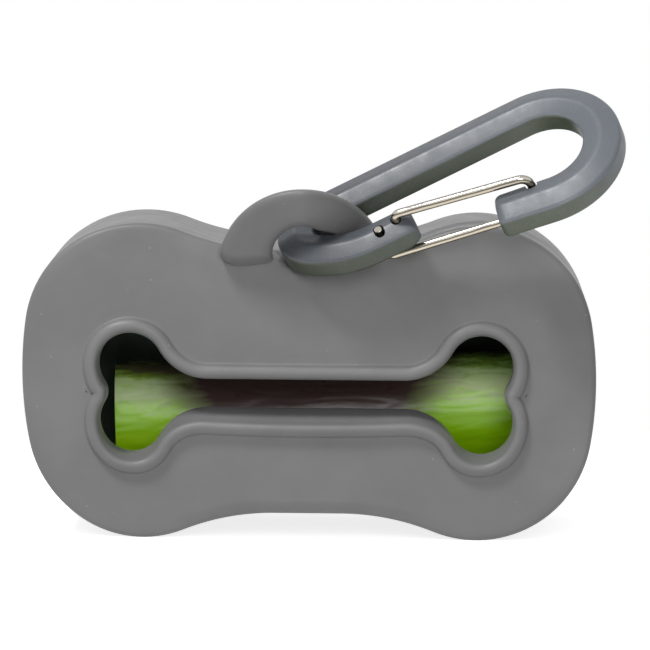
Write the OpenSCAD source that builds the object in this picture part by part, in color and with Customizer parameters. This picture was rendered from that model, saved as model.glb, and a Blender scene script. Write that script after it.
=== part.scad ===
// Bone-shaped silicone pouch for a roll of waste bags, with a moulded hanging loop
// and a plastic snap hook closed by a bent wire gate.
// The pouch stands on its lower lobes: +X to the right, +Z up towards the loop, and the
// front face with the mouth looks along -Y. The origin is the centre of the back face.

/* [Pouch] */
// Overall width, from end to end
body_w = 92; // [76:0.5:112]
// Overall height over the four lobes
body_h = 50.6; // [47:0.2:62]
// Height across the waist
waist_h = 42.4; // [36:0.2:46]
// Depth from the back face to the rim of the front face
body_d = 36; // [30:0.5:44]
// Radius of the four corner lobes
lobe_r = 18.5; // [15:0.5:20]
// Radius of the slightly bowed ends
end_r = 60; // [50:1:90]
// Radius of the hollow flanks that lead into the waist
flank_r = 40; // [25:1:60]
// Thickness of the side and back walls
wall = 2.4; // [1.8:0.1:3]
// Thickness of the front wall
front_wall = 2.6; // [2:0.1:3.2]
// How far the front face swells out in the middle
crown = 1; // [0:0.1:2]
// Rounding of the rim of the front face
rim_r = 0.9; // [0.5:0.1:1.5]
// Rounding of the edge of the back face
back_r = 4; // [2:0.5:6]
// Rounding in the corners of the cavity
cavity_r = 3; // [1.5:0.5:4]

/* [Mouth] */
// Width of the bone-shaped mouth
mouth_w = 66.6; // [56:0.2:72]
// Height of the mouth over its lobes
mouth_h = 19.8; // [17:0.2:24]
// Height of the slot between the lobes
slot_h = 4.5; // [4.2:0.1:6]
// Radius of the lobes of the mouth
mouth_lobe_r = 5.2; // [4.4:0.1:6]
// Radius of the nib between two lobes
nib_r = 3; // [2.6:0.1:4]
// Radius of the flanks that lead into the slot
mouth_flank_r = 9; // [6:0.5:12]
// Shift of the mouth to the right of the middle
mouth_x = -0.5; // [-2:0.1:2]
// Shift of the mouth above the middle
mouth_y = -1.4; // [-3:0.1:3]
// Width of the raised bead round the mouth
bead_w = 2.4; // [1.6:0.1:2.5]
// Height of the bead above the face
bead_h = 1.3; // [0.5:0.1:2]
// Depth of the lip below the face
lip_d = 4.4; // [3.4:0.1:6]
// How far the lip draws in towards its inner edge
lip_draft = 0.1; // [0:0.1:1]
// Thickness of the lip at its inner edge
lip_t = 1.8; // [1.2:0.1:2.4]

/* [Loop] */
// Middle of the loop to the right of the middle of the pouch
loop_x = -1.2; // [-4:0.1:4]
// Outer radius of the loop
loop_r = 13.5; // [11:0.5:16]
// Radius of the hole in the loop
loop_hole_r = 4.8; // [4.4:0.1:6]
// Height of the hole's middle above the loop's middle
loop_offset = 2.5; // [1:0.1:3]
// Height of the hole's middle under the edge of the waist
loop_drop = 0.6; // [0:0.1:2]
// Thickness of the loop
loop_t = 4.4; // [3.4:0.1:5]
// Angle by which the loop leans forward
loop_lean = 34; // [15:1:40]
// Angle by which the hook twists the loop's right side back
loop_twist = 22; // [0:1:28]
// Distance of the loop's middle in front of the rim, at the hole
loop_out = 1.6; // [0:0.1:4]

/* [Bag roll] */
// Length of the roll
roll_l = 65; // [50:1:66]
// Diameter of the roll
roll_d = 20.4; // [16:0.2:25]
// Outer diameter of the core tube
core_d = 10; // [8:0.5:12]
// Wall of the core tube
core_wall = 0.8; // [0.5:0.1:1.5]
// Gap between the resting roll and the walls
roll_gap = 0.3; // [0.1:0.1:1]
// Angle by which the roll lies askew
roll_skew = 2.3; // [0:0.1:4]
// Middle of the roll to the right of the middle of the pouch
roll_x = 0.8; // [-4:0.1:4]
// Thickness of the outermost bag round the roll
bag_t = 0.4; // [0.3:0.1:1]
// Where the loose edge of the outermost bag lies, up from the front of the roll
bag_edge = 27; // [0:1:90]

/* [Snap hook] */
// Thickness of the bar that the hook is bent from
bar = 6; // [5:0.1:7.2]
// Rounding of the bar's edges
bar_r = 2; // [1:0.1:2.4]
// Clear width inside the narrow end
narrow_gap = 5.2; // [4.8:0.1:7]
// Clear width inside the wide end
wide_gap = 13.4; // [11:0.2:17]
// Distance between the middles of the two end bends
bend_l = 36.6; // [30:0.2:44]
// Length of the straight leg that holds the gate
leg_l = 12.6; // [10:0.2:16]
// Length of the nose past the wide bend
nose_l = 9; // [7:0.2:12]
// Angle by which the nose closes in
nose_in = 11; // [0:1:20]
// Direction of the hook, up from the horizontal
hook_rise = 26.5; // [0:0.5:60]
// Angle of the hook's plane about its own length
hook_tilt = 50; // [30:1:70]
// Angle by which the hook's wide end leans back
hook_pitch = 3; // [0:0.5:12]

/* [Wire gate] */
// Diameter of the wire
wire_d = 1.4; // [1:0.1:1.8]
// Gap between the wire and the sides of the bar
wire_gap = 0.2; // [0.1:0.05:0.4]
// Distance from the bend to the farther wire end
pivot_far = 6.7; // [5:0.1:8]
// Distance between the two wire ends along the leg
pivot_step = 3.3; // [2.8:0.1:4]
// Distance from the wide bend back to the wire's cross piece
hook_back = 5.1; // [3:0.1:7]
// Radius of the wire's bends at the nose
wire_bend = 1.7; // [1.2:0.1:2.4]
// Radius of the wire's bends at the pivots
pivot_bend = 0.95; // [0.8:0.05:1.2]
// How far the gate opens
gate_open = 24; // [10:1:30]
// Clearance round the wire in its slots and notch
wire_fit = 0.08; // [0.05:0.01:0.3]

/* [Hidden] */
$fn = 64;
eps = 0.01;
// Segments of each stretch of a bone outline, in one quarter
END_N = 4;
LOBE_N = 11;
FLANK_N = 6;
WAIST_N = 2;

// ---- Bone outlines ----------------------------------------------------------------
// A bone outline is [end arc, lobe, flank] of one quarter:
// end arc [x, radius, 1 for a bowed end or -1 for a nib], lobe [x, y, radius],
// flank [x, radius, half height of the waist].

function flank_x(lx, ly, lr, fr, hh) = lx - sqrt(pow(lr + fr, 2) - pow(hh + fr - ly, 2));

// Outline with bowed ends that run smoothly into the lobes
function bowed_bone(w, h, lr, fr, wh, er) =
    let (ly = h / 2 - lr,
         ex = w / 2 - er,
         lx = ex + sqrt(pow(er - lr, 2) - ly * ly))
    [[ex, er, 1], [lx, ly, lr], [flank_x(lx, ly, lr, fr, wh / 2), fr, wh / 2]];

// Outline with a round nib between the two lobes of each end
function nibbed_bone(w, h, lr, fr, wh, nr) =
    let (ly = h / 2 - lr,
         lx = w / 2 - lr,
         ex = lx + sqrt(pow(lr + nr, 2) - ly * ly))
    [[ex, nr, -1], [lx, ly, lr], [flank_x(lx, ly, lr, fr, wh / 2), fr, wh / 2]];

function arc(cx, cy, r, a0, a1, n) =
    [for (i = [0:n - 1]) let (a = a0 + (a1 - a0) * i / n) [cx + r * cos(a), cy + r * sin(a)]];

// One quarter of a bone outline, grown by off, from the end up to the waist
function quarter(c, off) =
    let (e = c[0], l = c[1], f = c[2],
         toward = atan2(l.y, abs(l.x - e.x)),
         bowed = e[2] > 0,
         a0 = bowed ? 0 : 180,
         a1 = bowed ? toward : 180 - toward,
         l0 = bowed ? toward : -toward,
         l1 = atan2(f[2] + f.y - l.y, f.x - l.x))
    concat(
        arc(e.x, 0, e.y + e[2] * off, a0, a1, END_N),
        arc(l.x, l.y, l[2] + off, l0, l1, LOBE_N),
        arc(f.x, f[2] + f.y, f.y - off, l1 + 180, 270, FLANK_N),
        [for (i = [0:WAIST_N]) [f.x * (1 - i / WAIST_N), f[2] + off]]);

// The whole outline, round the four quarters
function bone(c, off = 0) =
    let (q = quarter(c, off), n = len(q) - 1)
    concat(
        [for (i = [0:n - 1]) q[i]],
        [for (i = [n:-1:1]) [-q[i].x, q[i].y]],
        [for (i = [0:n - 1]) [-q[i].x, -q[i].y]],
        [for (i = [n:-1:1]) [q[i].x, -q[i].y]]);

body_bone = bowed_bone(body_w, body_h, lobe_r, flank_r, waist_h, end_r);
mouth_bone = nibbed_bone(mouth_w, mouth_h, mouth_lobe_r, mouth_flank_r, slot_h, nib_r);

// Height of the crowned front face above the back face
function face_z(p) =
    body_d + crown * max(0, 1 - pow(2 * p.x / body_w, 2)) * max(0, 1 - pow(2 * p.y / body_h, 2));

function mouth_at(off) = [for (p = bone(mouth_bone, off)) p + [mouth_x, mouth_y]];
function flat_ring(pts, z) = [for (p = pts) [p.x, p.y, z]];
function face_ring(pts, dz) = [for (p = pts) [p.x, p.y, face_z(p) + dz]];
function between(a, b, t) = [for (i = [0:len(a) - 1]) a[i] * (1 - t) + b[i] * t];

// Closes a stack of equal rings into one solid, with a flat cap at each end
module skin(rings) {
    n = len(rings[0]);
    last = (len(rings) - 1) * n;
    polyhedron(
        points = [for (r = rings) for (p = r) p],
        faces = concat(
            [[for (i = [0:n - 1]) i]],
            [for (k = [0:len(rings) - 2]) for (i = [0:n - 1])
                [k * n + i, (k + 1) * n + i, k * n + (i + 1) % n]],
            [for (k = [0:len(rings) - 2]) for (i = [0:n - 1])
                [k * n + (i + 1) % n, (k + 1) * n + i, (k + 1) * n + (i + 1) % n]],
            [[for (i = [n - 1:-1:0]) last + i]]));
}

// ---- Pouch ------------------------------------------------------------------------
// Drawn lying on its back, with the outline in X and Y and the depth along Z

function outer_rings() = concat(
    [for (a = [0:30:90]) flat_ring(bone(body_bone, -back_r * (1 - sin(a))), back_r * (1 - cos(a)))],
    [for (a = [0:45:45])
        flat_ring(bone(body_bone, -rim_r * (1 - cos(a))), body_d - rim_r * (1 - sin(a)))],
    [face_ring(bone(body_bone, -rim_r), 0)]);

// Across the face, over the bead and down the lip
function mouth_rings() =
    let (rim = bone(body_bone, -rim_r),
         crest = bead_w * 0.4,
         top_r = min(crest, bead_h))
    concat(
        [for (t = [1 / 3, 2 / 3]) face_ring(between(rim, mouth_at(bead_w), t), 0)],
        [for (a = [0:30:90])
            face_ring(mouth_at(crest + (bead_w - crest) * cos(a)), bead_h * sin(a))],
        [for (a = [135:45:180])
            face_ring(mouth_at(crest + crest * cos(a)), bead_h - top_r * (1 - sin(a)))],
        [face_ring(mouth_at(-lip_draft), -lip_d)],
        [face_ring(mouth_at(lip_t - lip_draft), -lip_d)],
        [face_ring(mouth_at(lip_t + 0.2), -front_wall)]);

// Under the front wall, down the side walls and onto the back wall
function cavity_rings() =
    let (inner = bone(body_bone, -wall - cavity_r),
         under = body_d - front_wall)
    concat(
        [face_ring(between(mouth_at(lip_t + 0.2), inner, 1 / 2), -front_wall)],
        [flat_ring(inner, under)],
        [for (a = [45:45:90])
            flat_ring(bone(body_bone, -wall - cavity_r * (1 - sin(a))), under - cavity_r * (1 - cos(a)))],
        [for (a = [0:45:90])
            flat_ring(bone(body_bone, -wall - cavity_r * (1 - cos(a))), wall + cavity_r * (1 - sin(a)))]);

// Middle of the hole in the loop, in the plane of the face
hole_y = waist_h / 2 - loop_drop;
// Where the hook's bar crosses the middle of the loop: the axis that it swings about
pin_y = hole_y + loop_hole_r - loop_t / 6 - bar / 2 - 0.6;
pin_z = body_d + loop_out + (pin_y - hole_y) * tan(loop_lean);

// Depth at which the feet of the loop run into the front wall
LOOP_SUNK = 1.7;
function from_zero(d) = d > 0 ? d * d / (d + 1.5) : 0;
function soft_floor(h) = (h + sqrt(h * h + 1)) / 2;

// Middle surface of the loop: it leans forward, and its right side is twisted back
function loop_z(x, y) =
    let (raw = loop_out + (y - hole_y) * tan(loop_lean) - from_zero(x) * tan(loop_twist))
    body_d - LOOP_SUNK + soft_floor(raw + LOOP_SUNK);

// One oval section of the loop, where the ray at angle a leaves the hole's middle
function loop_section(a) =
    let (e = loop_offset * sin(a),
         reach = -e + sqrt(e * e - loop_offset * loop_offset + loop_r * loop_r),
         mid = (reach + loop_hole_r) / 2,
         half = (reach - loop_hole_r) / 2)
    [for (b = [360:-360 / LOOP_SIDES:1])
        let (r = mid + half * sign(cos(b)) * pow(abs(cos(b)), 0.75),
             y = hole_y + r * sin(a))
        [loop_x + r * cos(a), y,
         loop_z(r * cos(a), y) + loop_t / 2 * sign(sin(b)) * pow(abs(sin(b)), 0.75)]];
LOOP_SIDES = 16;
// The loop's two feet end this far below the hole's middle
LOOP_FOOT = 28;

module loop_arch() {
    skin([for (i = [0:36]) loop_section(-LOOP_FOOT + (180 + 2 * LOOP_FOOT) * i / 36)]);
}

// Thickened corner under the loop, where the bar passes over the rim
module loop_root() {
    translate([loop_x - loop_hole_r - 2, waist_h / 2 - 2, body_d - 3])
        rotate([0, 90, 0])
            intersection() {
                cylinder(r = 5, h = 2 * loop_hole_r + 4);
                translate([-3 + wall / 2, -6, -1])
                    cube([9, 6 + wall / 3, 2 * loop_hole_r + 6]);
            }
}

// Puts its children at the point where the bar passes through the loop, with Z along
// the bar, which is also the axis that the hook swings about
module at_pin() {
    translate([loop_x, pin_y, pin_z])
        rotate([180 - hook_tilt, hook_pitch, hook_rise])
            rotate([-90, 0, 0])
                children();
}

// Stands what is drawn lying on its back up on its lower lobes
module upright() {
    rotate([90, 0, 0])
        children();
}

// Room for the bar in the hole and in the rim behind it, widened towards the spine
module bar_groove() {
    groove_r = bar * 0.57 + 0.3;
    cylinder(r = groove_r, h = 2 * GROOVE_L, center = true);
    for (i = [1:2])
        translate([i * GROOVE_STEP, 0, -GROOVE_L])
            cylinder(r = groove_r, h = GROOVE_L - 1);
}
GROOVE_L = 8.6;
GROOVE_STEP = 0.9;

module pouch() {
    color("#7d7d7d")
        upright()
            difference() {
                union() {
                    skin(concat(outer_rings(), mouth_rings(), cavity_rings()));
                    loop_arch();
                    loop_root();
                }
                at_pin()
                    bar_groove();
            }
}

// ---- Bag roll ---------------------------------------------------------------------

roll_r = roll_d / 2;
// Air under the outermost turn
FILM_GAP = 0.03;
// The roll lies on the bottom wall, where the waist is narrowest, and on the back wall
roll_y = -waist_h / 2 + wall + roll_gap + roll_r + body_bone[2].x * tan(roll_skew) + 0.35;
roll_z = wall + roll_gap + roll_r;

// Puts its children on the roll's axis, which runs along Z
module on_roll() {
    upright()
        translate([roll_x, roll_y, roll_z])
            rotate([0, 0, roll_skew])
                rotate([0, 90, 0])
                    children();
}

module tube(r_out, r_in, h) {
    difference() {
        cylinder(r = r_out, h = h, center = true);
        cylinder(r = r_in, h = h + 1, center = true);
    }
}

module roll_core() {
    color("#b9a98c")
        on_roll()
            tube(core_d / 2, core_d / 2 - core_wall, roll_l - 1);
}

module bag_roll() {
    color("#6fae1b")
        on_roll()
            tube(roll_r - bag_t - FILM_GAP, core_d / 2, roll_l);
}

// The outermost bag: one turn of film round the roll, with its loose edge to the front
module lead_bag() {
    color("#84c22a")
        on_roll()
            rotate([0, 0, 180 - bag_edge])
                rotate_extrude(angle = 352)
                    translate([roll_r - bag_t, -roll_l / 2])
                        square([bag_t, roll_l]);
}

// ---- Snap hook --------------------------------------------------------------------
// Drawn flat: the spine lies along X, the gate side above it, the bar's middle on Z = 0

narrow_r = (narrow_gap + bar) / 2;
wide_r = (wide_gap + bar) / 2;
gate_y = 2 * narrow_r;
// Thickness of the nose, as a share of the bar's
NOSE_SHARE = 0.985;
// Length of the nose that is sunk into the wide bend
NOSE_ROOT = 0.4;
nose_start = [bend_l - wide_r * sin(nose_in), wide_r + wide_r * cos(nose_in)];

function nose_y(x) = nose_start.y - (nose_start.x - x) * tan(nose_in);

module bar_section() {
    square([bar - 2 * bar_r, bar], center = true);
    square([bar, bar - 2 * bar_r], center = true);
    for (x = [-1, 1])
        for (y = [-1, 1])
            translate([x * (bar / 2 - bar_r), y * (bar / 2 - bar_r)])
                circle(r = bar_r);
}

// A straight stretch of bar along X
module straight_bar(l) {
    rotate([90, 0, 90])
        linear_extrude(l)
            bar_section();
}

// The nose: a slightly thinner stretch with a domed end. It starts inside the bend.
module nose_bar() {
    scale(NOSE_SHARE)
        translate([-NOSE_ROOT, 0, 0])
            domed_bar(nose_l + NOSE_ROOT, 5);
}

// A bend of the bar about Z
module bent_bar(r, from, sweep) {
    rotate_extrude(start = from, angle = sweep)
        translate([r, 0])
            bar_section();
}

// A straight stretch whose far end is domed
module domed_bar(l, dome) {
    intersection() {
        straight_bar(l);
        translate([l - dome, 0, 0])
            sphere(r = dome);
    }
    straight_bar(l - dome * 0.45);
}

wire_r = wire_d / 2;
// Distance of the wire's legs from the middle of the bar
leg_z = bar / 2 + wire_gap + wire_r;
pivot_x = pivot_far + pivot_step / 2;
cross_x = bend_l - hook_back;
cross_y = nose_y(cross_x) - bar / 2 + wire_r / 2;
// How far each wire end moves along its slot, and across it, as the gate opens
slot_run = pivot_step / 2 * sin(gate_open) + wire_fit;
slot_shift = pivot_step / 4 * (1 - cos(gate_open));

// Slot for one wire end, drawn out along Y by run. side points to the other slot.
module wire_slot(run, side) {
    slot_r = wire_r + wire_fit + slot_shift;
    translate([side * slot_shift, 0, 0]) {
        cylinder(r = slot_r, h = bar + 2, center = true);
        translate([0, run, 0])
            cylinder(r = slot_r, h = bar + 2, center = true);
        translate([-slot_r, min(0, run), -bar / 2 - 1])
            cube([2 * slot_r, abs(run), bar + 2]);
    }
}

// Notch in the nose that the wire's cross piece snaps into
module cross_notch() {
    notch_r = wire_r + 0.25;
    opening = atan2(cross_x - pivot_x, cross_y - gate_y);
    translate([cross_x, cross_y, 0]) {
        cylinder(r = notch_r, h = bar + 2, center = true);
        rotate([0, 0, -opening])
            translate([-notch_r, 0, -bar / 2 - 1])
                cube([bar, notch_r, bar + 2]);
    }
}

// Puts the flat-drawn hook into the loop, at the angle that it rests at
module place_hook() {
    upright()
        translate([loop_x, pin_y, pin_z])
            rotate([180 - hook_tilt, hook_pitch, hook_rise])
                translate([narrow_r, -narrow_r, 0])
                    children();
}

module hook_flat() {
    difference() {
        union() {
            straight_bar(bend_l);
            translate([0, narrow_r, 0])
                bent_bar(narrow_r, 90, 180);
            translate([0, gate_y, 0])
                domed_bar(leg_l, 8);
            translate([bend_l, wide_r, 0])
                bent_bar(wide_r, -90, 180 + nose_in);
            translate([nose_start.x, nose_start.y, 0])
                rotate([0, 0, 180 + nose_in])
                    nose_bar();
        }
        translate([pivot_far, gate_y, 0])
            wire_slot(slot_run, 1);
        translate([pivot_far + pivot_step, gate_y, 0])
            wire_slot(-slot_run, -1);
        cross_notch();
    }
}

module hook_frame() {
    color("#5f6a72")
        place_hook()
            hook_flat();
}

// ---- Wire gate --------------------------------------------------------------------

// A quarter bend of wire that runs from along X into along Z
module wire_quarter(r) {
    translate([0, 0, r])
        rotate([90, 0, 0])
            rotate_extrude(start = 270, angle = 90)
                translate([r, 0])
                    circle(r = wire_r);
}

// Lengths are rounded so that stretches that meet end in the very same place
function tidy(v) = round(v * 1000) / 1000;

// One leg of the gate, from the wire end at x0 to the cross piece. side is 1 or -1.
module wire_leg(x0, side) {
    dx = cross_x - x0;
    dy = cross_y - gate_y;
    run = tidy(sqrt(dx * dx + dy * dy));
    pin_l = leg_z - pivot_bend + bar / 2 - 0.1;
    translate([x0, gate_y, 0])
        mirror([0, 0, side > 0 ? 1 : 0])
            rotate([0, 0, atan2(dy, dx)])
                translate([0, 0, -leg_z]) {
                    translate([pivot_bend, 0, 0])
                        rotate([0, 90, 0])
                            cylinder(r = wire_r, h = run - pivot_bend - wire_bend);
                    translate([run - wire_bend, 0, 0])
                        wire_quarter(wire_bend);
                    translate([pivot_bend, 0, 0])
                        mirror([1, 0, 0])
                            wire_quarter(pivot_bend);
                    translate([0, 0, pivot_bend])
                        cylinder(r = wire_r, h = pin_l);
                }
}

module wire_gate() {
    color("#c9c5bb")
        place_hook() {
            wire_leg(pivot_far + pivot_step, -1);
            wire_leg(pivot_far, 1);
            translate([cross_x, cross_y, 0])
                cylinder(r = wire_r + 0.015, h = 2 * (leg_z - wire_bend) + 0.1, center = true);
        }
}

pouch();
roll_core();
bag_roll();
lead_bag();
hook_frame();
wire_gate();
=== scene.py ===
"""Looks for the bone-shaped silicone pouch: moulded skin, wound bags, snap hook and wire gate.

Lengths are in millimetres and angles in degrees, and MM turns lengths into the frame's metres.
Only the floor and the lights are set in metres. The pouch and the hook are each drawn flat, as
in the CAD, and then put in place by one matrix.
"""

import math

import bmesh
import bpy
from mathutils import Matrix, Vector, noise


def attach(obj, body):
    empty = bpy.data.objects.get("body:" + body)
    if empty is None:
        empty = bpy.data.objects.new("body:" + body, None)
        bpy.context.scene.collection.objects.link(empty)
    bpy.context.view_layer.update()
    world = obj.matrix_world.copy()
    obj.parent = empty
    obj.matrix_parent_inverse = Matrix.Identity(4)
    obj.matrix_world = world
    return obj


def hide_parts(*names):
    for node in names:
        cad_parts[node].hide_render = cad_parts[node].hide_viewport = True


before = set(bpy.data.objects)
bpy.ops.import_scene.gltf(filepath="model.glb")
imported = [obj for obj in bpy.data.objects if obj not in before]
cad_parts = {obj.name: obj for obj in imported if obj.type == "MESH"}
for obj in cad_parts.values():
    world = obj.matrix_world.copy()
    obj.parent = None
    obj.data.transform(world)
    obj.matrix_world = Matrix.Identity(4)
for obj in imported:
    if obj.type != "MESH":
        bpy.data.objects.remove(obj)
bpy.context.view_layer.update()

MM = 0.001
X, Y, Z = range(3)

# ---- Sizes that the CAD also has ----------------------------------------------------

BODY_W, BODY_H, WAIST_H, BODY_D = 92.0, 50.6, 42.4, 36.0
LOBE_R, END_R, FLANK_R = 18.5, 60.0, 40.0
WALL, FRONT_WALL, CROWN = 2.4, 2.6, 1.0
RIM_R, BACK_R, CAVITY_R = 0.9, 4.0, 3.0

MOUTH_W, MOUTH_LOBE_R, NIB_R, MOUTH_FLANK_R = 66.6, 5.2, 3.0, 9.0
MOUTH_X, LIP_D = -0.5, 4.4

LOOP_X, LOOP_R, HOLE_R, LOOP_OFFSET, LOOP_DROP = -1.2, 13.5, 4.8, 2.5, 0.6
LOOP_T, LOOP_LEAN, LOOP_OUT = 4.4, 34.0, 1.6
HOLE_Y = WAIST_H / 2 - LOOP_DROP

ROLL_L, ROLL_D, CORE_D, CORE_WALL = 65.0, 20.4, 10.0, 0.8
ROLL_GAP, ROLL_SKEW, ROLL_X, ROLL_LIFT = 0.3, 2.3, 0.8, 0.35

BAR, NOSE_L, NOSE_IN, GATE_Y = 6.0, 9.0, 11.0, 11.2
HOOK_RISE, HOOK_TILT, HOOK_PITCH = 26.5, 50.0, 3.0
PIN_RISE, PIN_PLAY = 5.6, 0.6

WIRE_R, WIRE_GAP, WIRE_FIT = 0.7, 0.2, 0.08
PIVOT_STEP, WIRE_BEND, PIVOT_BEND, GATE_OPEN = 3.3, 1.7, 0.95, 24.0

# ---- Sizes that follow the picture more closely than the CAD's ----------------------

# The mouth, and how much lower its lower lip lies at the face: along the slot and at the lobes
MOUTH_H, SLOT_H, MOUTH_Y = 19.4, 4.9, -1.95
LIP_SLOPE, LOBE_SLOPE = 2.0, 0.9
# The lean of the pouch's left end, which is whole from LEAN_X on
END_LEAN, LEAN_X = 0.035, 40
# The loop's twist, which sets in over TWIST_EASE, and how deep its ends run into the face
LOOP_TWIST, TWIST_EASE, LOOP_SUNK = 31.0, 1.5, 1.7
# The loop's feet: they start FOOT_START from its top and end LOOP_FOOT past a half turn
LOOP_FOOT, FOOT_START = 14.0, 88
FOOT_SINK, FOOT_THIN, FOOT_IN = 1.4, 0.5, 0.36
# The hook's narrow end has a tight and a gentle bend. Places along the bar count from the
# tight bend's middle, so LEG_L and PIVOT_FAR differ from the CAD's and mean the same points
TIGHT_R, GENTLE_R, WIDE_R, BEND_L = 4.2, 14.0, 10.1, 36.9
LEG_L, PIVOT_FAR, HOOK_BACK = 14.0, 8.1, 4.0
# The leg and the nose are slimmer than the spine, and their ends are rounded over a cap
LEG_SHARE, LEG_CAP, LEG_TIP, LEG_SWELL = 0.96, 2.8, 0.55, 0.45
NOSE_SHARE, NOSE_CAP, NOSE_TIP, NOSE_SWELL = 0.97, 1.3, 0.7, 0.3
NOSE_WIDE = 1.13
# The bar's section: half its width, and half its thickness at the sides and in the middle
BAR_SIDE, BAR_EDGE, BAR_RIDGE = 3.05, 1.75, 2.9
EDGE_R, RIDGE_R = 0.8, 1.6

rad = math.radians


def turn(degrees, axis):
    return Matrix.Rotation(rad(degrees), 4, axis)


def scad_rotate(x, y, z):
    return turn(z, "Z") @ turn(y, "Y") @ turn(x, "X")


# Stands the flat-drawn pouch up, in metres
STAND = Matrix.Scale(MM, 4) @ turn(90, "X")

PIN_Y = HOLE_Y + HOLE_R - LOOP_T / 6 - BAR / 2 - PIN_PLAY
PIN_Z = BODY_D + LOOP_OUT + (PIN_Y - HOLE_Y) * math.tan(rad(LOOP_LEAN))
HOOK_TURN = scad_rotate(180 - HOOK_TILT, HOOK_PITCH, HOOK_RISE)
PIN = Matrix.Translation((LOOP_X, PIN_Y, PIN_Z)) @ HOOK_TURN
HOOK = STAND @ PIN @ Matrix.Translation((TIGHT_R, -PIN_RISE, 0))

# ---- Camera -------------------------------------------------------------------------

IMAGE, SENSOR = 650, 36
MM_PER_PIXEL = 0.16
# The point of the front plane in the middle of the picture
AIM = Vector((2.48, -BODY_D, 9.28))
CAM_DISTANCE, CAM_TILT, CAM_YAW, CAM_ROLL = 915.0, 5.2, 0.8, 0.5
# From where to where the camera sees, in metres
CLIP = 0.05, 50


def look_from(at, back):
    """The matrix of a camera or lamp at a place, with its back toward back."""
    return Matrix.Translation(at) @ back.to_track_quat("Z", "Y").to_matrix().to_4x4()


def make_camera():
    data = bpy.data.cameras.new("camera")
    cam = bpy.data.objects.new("camera", data)
    bpy.context.collection.objects.link(cam)
    bpy.context.scene.camera = cam
    data.sensor_width = SENSOR
    data.lens = SENSOR * CAM_DISTANCE / (IMAGE * MM_PER_PIXEL)
    data.clip_start, data.clip_end = CLIP
    t, y = rad(CAM_TILT), rad(CAM_YAW)
    back = Vector((math.sin(y) * math.cos(t), -math.cos(y) * math.cos(t), math.sin(t)))
    eye = (AIM + back * CAM_DISTANCE) * MM
    cam.matrix_world = look_from(eye, back) @ turn(CAM_ROLL, "Z")


make_camera()

# ---- Mesh helpers -------------------------------------------------------------------

WELD = 1e-7


def mesh_object(name, points, faces):
    mesh = bpy.data.meshes.new(name)
    mesh.from_pydata([tuple(p) for p in points], [], faces)
    mesh.validate()
    bm = bmesh.new()
    bm.from_mesh(mesh)
    bmesh.ops.remove_doubles(bm, verts=bm.verts, dist=WELD)
    bmesh.ops.recalc_face_normals(bm, faces=bm.faces)
    bm.to_mesh(mesh)
    bm.free()
    obj = bpy.data.objects.new(name, mesh)
    bpy.context.collection.objects.link(obj)
    return obj


def shade(obj, angle):
    """Smooth shading, with sharp edges where two faces meet at more than angle degrees."""
    bm = bmesh.new()
    bm.from_mesh(obj.data)
    for f in bm.faces:
        f.smooth = True
    for e in bm.edges:
        e.smooth = len(e.link_faces) == 2 and e.calc_face_angle() < rad(angle)
    bm.to_mesh(obj.data)
    bm.free()


def loft(rings, caps=True, closed=True):
    """Points and faces of a skin over rings of equal length."""
    n = len(rings[0])
    points = [p for r in rings for p in r]
    span = n if closed else n - 1
    faces = []
    for k in range(len(rings) - 1):
        for i in range(span):
            a, b = k * n + i, k * n + (i + 1) % n
            faces.append((a, b, b + n, a + n))
    if caps:
        faces.append(tuple(range(n))[::-1])
        faces.append(tuple(range(len(points) - n, len(points))))
    return points, faces


def sweep(path, section, share, wide=None, up=Vector((0, 0, 1))):
    """Rings of a section carried along a path, without twist.

    share scales each ring, and wide scales it once more, but only across. up says which way
    the section stands at the start, where it mustn't lie along the path.
    """
    rings = []
    side = (path[1] - path[0]).normalized().cross(up)
    for i, p in enumerate(path):
        ahead = (path[min(i + 1, len(path) - 1)] - path[max(i - 1, 0)]).normalized()
        side = (side - ahead * side.dot(ahead)).normalized()
        over = side.cross(ahead)
        s = share[i]
        w = wide[i] * s if wide else s
        rings.append([p + side * a * w + over * b * s for a, b in section])
    return rings


def circle(r, n):
    return [(r * math.cos(math.tau * i / n), r * math.sin(math.tau * i / n)) for i in range(n)]


def about_z(r, a, z):
    """The point at radius r and angle a round the Z axis."""
    return Vector((r * math.cos(a), r * math.sin(a), z))


def arc(cx, cy, r, a0, a1, n):
    """n points of an arc from a0 on, without its last one."""
    angles = [rad(a0 + (a1 - a0) * i / n) for i in range(n)]
    return [(cx + r * math.cos(a), cy + r * math.sin(a)) for a in angles]


def quarter(n):
    """The angles of a quarter turn in n steps, both ends with it."""
    return [rad(90 * i / n) for i in range(n + 1)]


def smooth(t):
    return t * t * (3 - 2 * t)


def ease(a, b, n):
    """n values that go smoothly from a to b."""
    return [a + (b - a) * smooth(i / (n - 1)) for i in range(n)]


def round_corners(points, radii, n=12):
    """A path through points, with each inner corner rounded to its radius."""
    path = [points[0]]
    for i in range(1, len(points) - 1):
        p, r = points[i], radii[i - 1]
        u, v = (points[i - 1] - p).normalized(), (points[i + 1] - p).normalized()
        half = u.angle(v) / 2
        reach = r / math.tan(half)
        centre = p + (u + v).normalized() * (r / math.sin(half))
        a, b = p + u * reach - centre, p + v * reach - centre
        whole = a.angle(b)
        for k in range(n + 1):
            t = k / n
            bent = a * math.sin((1 - t) * whole) + b * math.sin(t * whole)
            path.append(centre + bent / math.sin(whole))
    path.append(points[-1])
    return path


def place(points, matrix):
    return [matrix @ Vector(p) for p in points]


def cut(obj, cutter):
    """Takes cutter away from obj, and removes cutter."""
    mod = obj.modifiers.new("cut", "BOOLEAN")
    mod.operation = "DIFFERENCE"
    mod.solver = "EXACT"
    mod.object = cutter
    graph = bpy.context.evaluated_depsgraph_get()
    made = bpy.data.meshes.new_from_object(obj.evaluated_get(graph))
    obj.modifiers.clear()
    obj.data = made
    bpy.data.objects.remove(cutter)


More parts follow.
